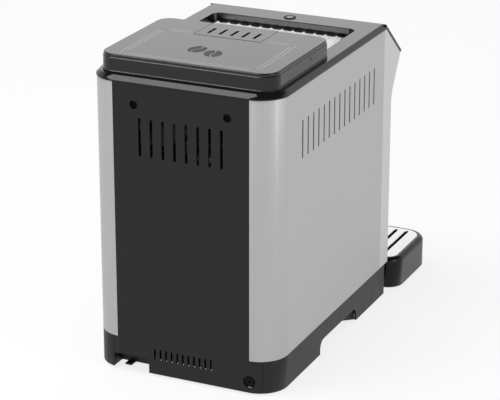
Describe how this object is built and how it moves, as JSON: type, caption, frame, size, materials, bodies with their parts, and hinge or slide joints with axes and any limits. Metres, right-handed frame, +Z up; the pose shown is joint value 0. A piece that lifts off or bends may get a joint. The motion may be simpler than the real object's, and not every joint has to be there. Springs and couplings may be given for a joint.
{
  "type": "bean-to-cup coffee machine",
  "caption": "Compact automatic bean-to-cup coffee machine with silver side panels, smoked bean-hopper lid, ribbed cup shelf, steam wand, side-loaded water tank and pull-out drip tray.",
  "frame": {"origin": "on the floor, at the middle of the overall box", "axes": "+Z up, the front faces -Y, +X is the user's right"},
  "size_m": [0.24, 0.4416, 0.358],
  "materials": {
    "silver_shell": "satin silver",
    "black_shell": "fine matt",
    "black_gloss": "high gloss",
    "tray_plastic": "satin",
    "smoked_clear": "clear, smoked",
    "hopper_clear": "translucent",
    "key_plastic": "satin",
    "knob_plastic": "satin",
    "works_plastic": "matt",
    "tank_clear": "clear",
    "tank_lid_plastic": "satin",
    "float_plastic": "satin",
    "tank_float_plastic": "satin",
    "steel": "brushed",
    "wand_steel": "polished",
    "motor_metal": "zinc plated",
    "heater_metal": "cast",
    "rubber": "matt",
    "hose_silicone": "translucent",
    "circuit_board": "solder mask"
  },
  "bodies": {
    "machine": {"base_tub": "black_shell", "cable_bay": "black_shell", "rubber_feet": "rubber", "rear_panel": "black_shell", "rear_screws": "steel", "base_screw": "steel", "side_panel_left": "silver_shell", "side_panel_right": "silver_shell", "cheek_left": "silver_shell", "cheek_right": "silver_shell", "top_frame": "black_gloss", "front_fascia": "black_shell", "nose_underside": "black_shell", "control_panel": "black_gloss", "control_board": "circuit_board", "cup_shelf": "steel", "bean_hopper": "hopper_clear", "ground_coffee_chute": "works_plastic", "spout_rail": "works_plastic", "chassis": "works_plastic", "grinder_housing": "works_plastic", "grinder_motor": "motor_metal", "brew_frame": "works_plastic", "brew_chamber": "works_plastic", "brew_drive_motor": "motor_metal", "thermoblock": "heater_metal", "pump": "motor_metal", "pump_mounts": "rubber", "flow_meter": "works_plastic", "power_board": "circuit_board", "cord_gland": "works_plastic", "pump_hose": "hose_silicone", "inlet_hose": "hose_silicone", "water_inlet": "works_plastic"},
    "lid": {"hopper_lid": "smoked_clear"},
    "door": {"ground_coffee_door": "smoked_clear"},
    "button": {"power_button": "key_plastic"},
    "key_1_body": {"key_1": "key_plastic"},
    "key_2_body": {"key_2": "key_plastic"},
    "key_3_body": {"key_3": "key_plastic"},
    "key_4_body": {"key_4": "key_plastic"},
    "key_5_body": {"key_5": "key_plastic"},
    "key_6_body": {"key_6": "key_plastic"},
    "knob": {"grind_knob": "knob_plastic"},
    "burr_ring": {"upper_burr": "steel"},
    "rotor": {"grinder_rotor": "steel"},
    "tray": {"drip_tray": "tray_plastic", "grounds_container": "black_shell"},
    "grid": {"drip_grid": "steel"},
    "overflow_float": {"tray_float": "float_plastic"},
    "spout": {"coffee_spout": "black_gloss", "spout_nozzles": "wand_steel"},
    "wand": {"steam_wand": "wand_steel", "frother_sleeve": "rubber"},
    "tank": {"water_tank": "tank_clear", "tank_lid": "tank_lid_plastic"},
    "level_float": {"tank_float": "tank_float_plastic"},
    "spindle": {"brew_spindle": "steel"},
    "piston": {"piston_carriage": "works_plastic"}
  },
  "joints": [
    {"name": "lid_lift", "type": "slide", "parent": "machine", "child": "lid", "axis": [0, 0, 1], "range_m": [0, 0.06]},
    {"name": "door_hinge", "type": "hinge", "parent": "lid", "child": "door", "pos_m": [0, 0.10505, 0.35675], "axis": [1, 0, 0], "range_deg": [-95, 0]},
    {"name": "power_press", "type": "slide", "parent": "machine", "child": "button", "axis": [0, 0, -1], "range_m": [0, 0.0015], "stiffness_N_per_m": 400, "springref_m": -0.001},
    {"name": "key_1_press", "type": "slide", "parent": "machine", "child": "key_1_body", "axis": [0, 0.6489, -0.7608], "range_m": [0, 0.0012], "stiffness_N_per_m": 400, "springref_m": -0.001},
    {"name": "key_2_press", "type": "slide", "parent": "machine", "child": "key_2_body", "axis": [0, 0.6489, -0.7608], "range_m": [0, 0.0012], "stiffness_N_per_m": 400, "springref_m": -0.001},
    {"name": "key_3_press", "type": "slide", "parent": "machine", "child": "key_3_body", "axis": [0, 0.6489, -0.7608], "range_m": [0, 0.0012], "stiffness_N_per_m": 400, "springref_m": -0.001},
    {"name": "key_4_press", "type": "slide", "parent": "machine", "child": "key_4_body", "axis": [0, 0.6489, -0.7608], "range_m": [0, 0.0012], "stiffness_N_per_m": 400, "springref_m": -0.001},
    {"name": "key_5_press", "type": "slide", "parent": "machine", "child": "key_5_body", "axis": [0, 0.6489, -0.7608], "range_m": [0, 0.0012], "stiffness_N_per_m": 400, "springref_m": -0.001},
    {"name": "key_6_press", "type": "slide", "parent": "machine", "child": "key_6_body", "axis": [0, 0.6489, -0.7608], "range_m": [0, 0.0012], "stiffness_N_per_m": 400, "springref_m": -0.001},
    {"name": "burr_turn", "type": "hinge", "parent": "machine", "child": "burr_ring", "pos_m": [-0.002, 0.15, 0.22], "axis": [0, 0, 1], "range_deg": [-34, 34]},
    {"name": "knob_turn", "type": "hinge", "parent": "machine", "child": "knob", "pos_m": [-0.0453, 0.15, 0.3], "axis": [0, 0, 1], "range_deg": [-150, 150]},
    {"name": "rotor_spin", "type": "hinge", "parent": "machine", "child": "rotor", "pos_m": [-0.002, 0.15, 0.2], "axis": [0, 0, 1], "continuous": true},
    {"name": "tray_slide", "type": "slide", "parent": "machine", "child": "tray", "axis": [0, -1, 0], "range_m": [0, 0.3]},
    {"name": "grid_lift", "type": "slide", "parent": "tray", "child": "grid", "axis": [0, 0, 1], "range_m": [0, 0.05]},
    {"name": "overflow_rise", "type": "slide", "parent": "tray", "child": "overflow_float", "axis": [0, 0, 1], "range_m": [0, 0.005]},
    {"name": "spout_height", "type": "slide", "parent": "machine", "child": "spout", "axis": [0, 0, 1], "range_m": [0, 0.054]},
    {"name": "wand_swing", "type": "hinge", "parent": "machine", "child": "wand", "pos_m": [-0.082, -0.1, 0.214], "axis": [0, 1, 0], "range_deg": [-5, 35]},
    {"name": "tank_slide", "type": "slide", "parent": "machine", "child": "tank", "axis": [0, -1, 0], "range_m": [0, 0.295]},
    {"name": "level_rise", "type": "slide", "parent": "tank", "child": "level_float", "axis": [0, 0, 1], "range_m": [0, 0.07]},
    {"name": "spindle_turn", "type": "hinge", "parent": "machine", "child": "spindle", "pos_m": [-0.005, 0.088, 0.1], "axis": [0, 0, 1], "range_deg": [0, 1080]},
    {"name": "piston_lift", "type": "slide", "parent": "machine", "child": "piston", "axis": [0, 0, 1], "range_m": [0, 0.024]}
  ],
  "couplings": [
    {"joint": "knob_turn", "follows": "burr_turn", "ratio": -4.375},
    {"joint": "spindle_turn", "follows": "piston_lift", "rad_per_m": 785.4}
  ]
}
